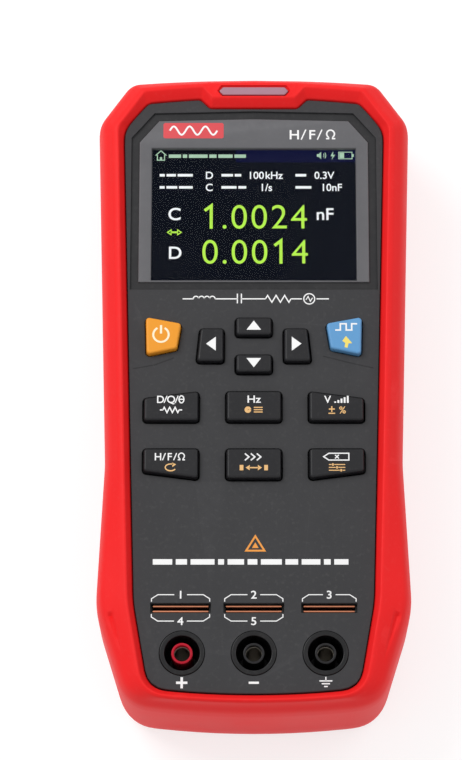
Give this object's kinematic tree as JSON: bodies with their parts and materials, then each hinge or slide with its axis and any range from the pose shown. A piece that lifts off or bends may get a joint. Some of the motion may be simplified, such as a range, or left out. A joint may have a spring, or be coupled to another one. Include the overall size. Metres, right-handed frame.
{
  "type": "handheld component tester",
  "caption": "Handheld component tester in a rubber boot, with a colour display, sprung keys, test slots, plug sockets and a tilt stand.",
  "frame": {"origin": "centre of the boot's box, on its back rim", "axes": "+Z out of the panel, +Y towards the display end, +X to the right of the panel"},
  "size_m": [0.0866, 0.1816, 0.04],
  "materials": {
    "boot_rubber": "satin moulded soft rubber",
    "shell_plastic": "fine matt moulded texture",
    "bezel_plastic": "satin grey",
    "window_clear": "clear acrylic window",
    "display_black": "lit colour display, mostly black",
    "white_plastic": "plain white moulding",
    "flex_film": "amber flexible film",
    "indicator_clear": "frosted lilac light guide",
    "board_green": "solder-masked board",
    "chip_black": "moulded black package",
    "tinned_steel": "tinned sheet",
    "relay_plastic": "amber moulding",
    "mat_silicone": "soft silicone sheet",
    "carbon_rubber": "conductive pill",
    "key_black": "satin dark key",
    "key_orange": "satin orange key",
    "key_blue": "satin blue key",
    "jack_black": "black insulating moulding",
    "jack_red": "red insulating moulding",
    "nickel_plate": "nickel-plated brass",
    "blade_copper": "copper spring sheet",
    "screw_steel": "zinc-plated steel",
    "cell_wrap": "shrink sleeve",
    "lead_insulation": "soft wire insulation"
  },
  "bodies": {
    "meter": {"bumper_boot": "boot_rubber", "front_shell": "shell_plastic", "rear_shell": "shell_plastic", "display_bezel": "bezel_plastic", "display_lens": "window_clear", "lcd_module": "display_black", "lcd_holder": "white_plastic", "lcd_flex": "flex_film", "indicator_lens": "indicator_clear", "indicator_leds": "white_plastic", "main_board": "board_green", "processor_chip": "chip_black", "shield_can": "tinned_steel", "relays": "relay_plastic", "buzzer": "chip_black", "lcd_connector": "white_plastic", "battery_connector": "white_plastic", "board_header": "chip_black", "board_screws": "screw_steel", "keypad_mat": "mat_silicone", "carbon_pills": "carbon_rubber", "jack_block": "jack_black", "jack_tube_plus": "jack_red", "jack_tube_minus": "jack_black", "jack_tube_guard": "jack_black", "jack_contact_plus": "nickel_plate", "jack_contact_minus": "nickel_plate", "jack_contact_guard": "nickel_plate", "slot_block": "jack_black", "slot_blades_high": "blade_copper", "slot_blades_low": "blade_copper", "slot_blades_guard": "blade_copper", "terminal_board": "board_green", "terminal_screws": "screw_steel", "battery_pack": "cell_wrap", "battery_leads": "lead_insulation", "battery_door": "shell_plastic", "battery_door_screws": "screw_steel", "rear_screws": "screw_steel", "usb_socket": "tinned_steel"},
    "power_key": {"key_power": "key_orange"},
    "trigger_key": {"key_trigger": "key_blue"},
    "up_key": {"key_up": "key_black"},
    "down_key": {"key_down": "key_black"},
    "left_key": {"key_left": "key_black"},
    "right_key": {"key_right": "key_black"},
    "function_1_key": {"key_function_1": "key_black"},
    "function_2_key": {"key_function_2": "key_black"},
    "function_3_key": {"key_function_3": "key_black"},
    "function_4_key": {"key_function_4": "key_black"},
    "function_5_key": {"key_function_5": "key_black"},
    "function_6_key": {"key_function_6": "key_black"},
    "stand": {"tilt_stand": "shell_plastic"},
    "port_flap": {"usb_cover": "boot_rubber"}
  },
  "joints": [
    {"name": "power_press", "type": "slide", "parent": "meter", "child": "power_key", "axis": [0, 0, -1], "range_m": [0, 0.0008], "stiffness_N_per_m": 1500},
    {"name": "trigger_press", "type": "slide", "parent": "meter", "child": "trigger_key", "axis": [0, 0, -1], "range_m": [0, 0.0008], "stiffness_N_per_m": 1500},
    {"name": "up_press", "type": "slide", "parent": "meter", "child": "up_key", "axis": [0, 0, -1], "range_m": [0, 0.0008], "stiffness_N_per_m": 1500},
    {"name": "down_press", "type": "slide", "parent": "meter", "child": "down_key", "axis": [0, 0, -1], "range_m": [0, 0.0008], "stiffness_N_per_m": 1500},
    {"name": "left_press", "type": "slide", "parent": "meter", "child": "left_key", "axis": [0, 0, -1], "range_m": [0, 0.0008], "stiffness_N_per_m": 1500},
    {"name": "right_press", "type": "slide", "parent": "meter", "child": "right_key", "axis": [0, 0, -1], "range_m": [0, 0.0008], "stiffness_N_per_m": 1500},
    {"name": "function_1_press", "type": "slide", "parent": "meter", "child": "function_1_key", "axis": [0, 0, -1], "range_m": [0, 0.0008], "stiffness_N_per_m": 1500},
    {"name": "function_2_press", "type": "slide", "parent": "meter", "child": "function_2_key", "axis": [0, 0, -1], "range_m": [0, 0.0008], "stiffness_N_per_m": 1500},
    {"name": "function_3_press", "type": "slide", "parent": "meter", "child": "function_3_key", "axis": [0, 0, -1], "range_m": [0, 0.0008], "stiffness_N_per_m": 1500},
    {"name": "function_4_press", "type": "slide", "parent": "meter", "child": "function_4_key", "axis": [0, 0, -1], "range_m": [0, 0.0008], "stiffness_N_per_m": 1500},
    {"name": "function_5_press", "type": "slide", "parent": "meter", "child": "function_5_key", "axis": [0, 0, -1], "range_m": [0, 0.0008], "stiffness_N_per_m": 1500},
    {"name": "function_6_press", "type": "slide", "parent": "meter", "child": "function_6_key", "axis": [0, 0, -1], "range_m": [0, 0.0008], "stiffness_N_per_m": 1500},
    {"name": "stand_hinge", "type": "hinge", "parent": "meter", "child": "stand", "pos_m": [0, 0.06775, 0.0032], "axis": [1, 0, 0], "range_deg": [0, 65]},
    {"name": "port_flap_hinge", "type": "hinge", "parent": "meter", "child": "port_flap", "pos_m": [0.017, 0.08835, 0.0251], "axis": [-1, 0, 0], "range_deg": [0, 90]}
  ]
}
